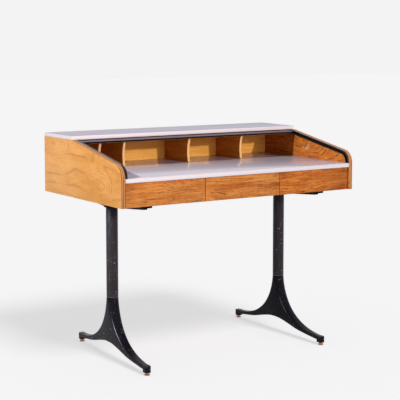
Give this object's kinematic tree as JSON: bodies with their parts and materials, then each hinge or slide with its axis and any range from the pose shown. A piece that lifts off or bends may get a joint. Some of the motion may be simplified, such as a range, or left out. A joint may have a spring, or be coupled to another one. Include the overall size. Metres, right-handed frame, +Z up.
{
  "type": "tambour desk",
  "caption": "Low tambour desk: wooden case with sloping sides, white top and writing board, pigeonholes, drawers and a slatted roll front, on cast pedestals.",
  "frame": {"origin": "on the floor, midway across the desk's width and depth", "axes": "+Z up, front of the desk towards -Y, +X to the right of a person at the desk's front looking at it"},
  "size_m": [1.068, 0.624, 0.8645],
  "materials": {
    "ash_panel": "satin lacquered veneered plywood",
    "ash_back": "satin lacquered veneer",
    "white_laminate": "glossy white laminate",
    "pale_inner_wood": "satin veneer",
    "black_channel": "moulded black channel",
    "black_rail": "black enamel",
    "tambour_slats": "oiled slats on canvas",
    "rosewood_front": "satin lacquered veneer",
    "plain_ply": "sanded plywood",
    "drawer_box_wood": "sanded hardwood",
    "hardwood_runner": "waxed hardwood",
    "black_tube": "black enamel",
    "black_casting": "black enamel on cast metal",
    "brass_glide": "worn brass",
    "rod_steel": "plain zinc"
  },
  "bodies": {
    "case": {"side_panel_left": "ash_panel", "side_panel_right": "ash_panel", "top_board": "white_laminate", "writing_board": "white_laminate", "back_panel": "ash_back", "bottom_panel": "plain_ply", "drawer_partition_left": "plain_ply", "drawer_partition_right": "plain_ply", "pigeonhole_back": "pale_inner_wood", "pigeonhole_roof": "pale_inner_wood", "divider_1": "pale_inner_wood", "divider_2": "pale_inner_wood", "divider_3": "pale_inner_wood", "divider_4": "pale_inner_wood", "tambour_track_left": "black_channel", "tambour_track_right": "black_channel", "runner_left_left": "hardwood_runner", "runner_left_right": "hardwood_runner", "runner_middle_left": "hardwood_runner", "runner_middle_right": "hardwood_runner", "runner_right_left": "hardwood_runner", "runner_right_right": "hardwood_runner", "spider_left": "black_casting", "column_left": "black_tube", "tie_rod_left": "rod_steel", "foot_left": "black_casting", "glide_left_front": "brass_glide", "glide_left_rear": "brass_glide", "spider_right": "black_casting", "column_right": "black_tube", "tie_rod_right": "rod_steel", "foot_right": "black_casting", "glide_right_front": "brass_glide", "glide_right_rear": "brass_glide"},
    "tambour_rail": {"tambour_lead_rail": "black_rail"},
    "curtain_front": {"curtain_front": "tambour_slats"},
    "curtain_slat_12": {"curtain_slat_12": "tambour_slats"},
    "curtain_slat_13": {"curtain_slat_13": "tambour_slats"},
    "curtain_slat_14": {"curtain_slat_14": "tambour_slats"},
    "curtain_rear": {"curtain_rear": "tambour_slats"},
    "curtain_tail": {"curtain_tail": "tambour_slats"},
    "drawer_left": {"drawer_left_front": "rosewood_front", "drawer_left_side_left": "drawer_box_wood", "drawer_left_side_right": "drawer_box_wood", "drawer_left_back": "drawer_box_wood", "drawer_left_bottom": "drawer_box_wood"},
    "drawer_middle": {"drawer_middle_front": "rosewood_front", "drawer_middle_side_left": "drawer_box_wood", "drawer_middle_side_right": "drawer_box_wood", "drawer_middle_back": "drawer_box_wood", "drawer_middle_bottom": "drawer_box_wood"},
    "drawer_right": {"drawer_right_front": "rosewood_front", "drawer_right_side_left": "drawer_box_wood", "drawer_right_side_right": "drawer_box_wood", "drawer_right_back": "drawer_box_wood", "drawer_right_bottom": "drawer_box_wood"}
  },
  "joints": [
    {"name": "tambour_slide", "type": "slide", "parent": "case", "child": "tambour_rail", "axis": [0, -0.9833, -0.1822], "range_m": [0, 0.32094], "deforming": ["curtain_front", "curtain_slat_12", "curtain_slat_13", "curtain_slat_14", "curtain_rear", "curtain_tail"]},
    {"name": "curtain_front_turn", "type": "hinge", "parent": "case", "child": "curtain_front", "pos_m": [0, 0.22711, -0.90388], "axis": [1, 0, 0], "range_deg": [0, 10.5]},
    {"name": "curtain_slat_12_turn", "type": "hinge", "parent": "case", "child": "curtain_slat_12", "pos_m": [0, 0.13866, 0.33517], "axis": [1, 0, 0], "range_deg": [0, 35.66]},
    {"name": "curtain_slat_13_turn", "type": "hinge", "parent": "case", "child": "curtain_slat_13", "pos_m": [0, 0.12999, 0.56725], "axis": [1, 0, 0], "range_deg": [0, 62.55]},
    {"name": "curtain_slat_14_turn", "type": "hinge", "parent": "case", "child": "curtain_slat_14", "pos_m": [0, 0.13173, 0.66616], "axis": [1, 0, 0], "range_deg": [0, 89.43]},
    {"name": "curtain_rear_turn", "type": "hinge", "parent": "case", "child": "curtain_rear", "pos_m": [0, 0.13371, 0.69292], "axis": [1, 0, 0], "range_deg": [0, 100.5]},
    {"name": "curtain_tail_turn", "type": "hinge", "parent": "case", "child": "curtain_tail", "pos_m": [0, 0.12437, 0.67388], "axis": [1, 0, 0], "range_deg": [0, 90]},
    {"name": "drawer_left_slide", "type": "slide", "parent": "case", "child": "drawer_left", "axis": [0, -1, 0], "range_m": [0, 0.38]},
    {"name": "drawer_middle_slide", "type": "slide", "parent": "case", "child": "drawer_middle", "axis": [0, -1, 0], "range_m": [0, 0.38]},
    {"name": "drawer_right_slide", "type": "slide", "parent": "case", "child": "drawer_right", "axis": [0, -1, 0], "range_m": [0, 0.38]}
  ],
  "couplings": [
    {"joint": "curtain_front_turn", "follows": "tambour_slide", "rad_per_m": 0.57101},
    {"joint": "curtain_slat_12_turn", "follows": "tambour_slide", "rad_per_m": 1.9394},
    {"joint": "curtain_slat_13_turn", "follows": "tambour_slide", "rad_per_m": 3.4014},
    {"joint": "curtain_slat_14_turn", "follows": "tambour_slide", "rad_per_m": 4.8634},
    {"joint": "curtain_rear_turn", "follows": "tambour_slide", "rad_per_m": 5.4654},
    {"joint": "curtain_tail_turn", "follows": "tambour_slide", "rad_per_m": 4.8944}
  ]
}
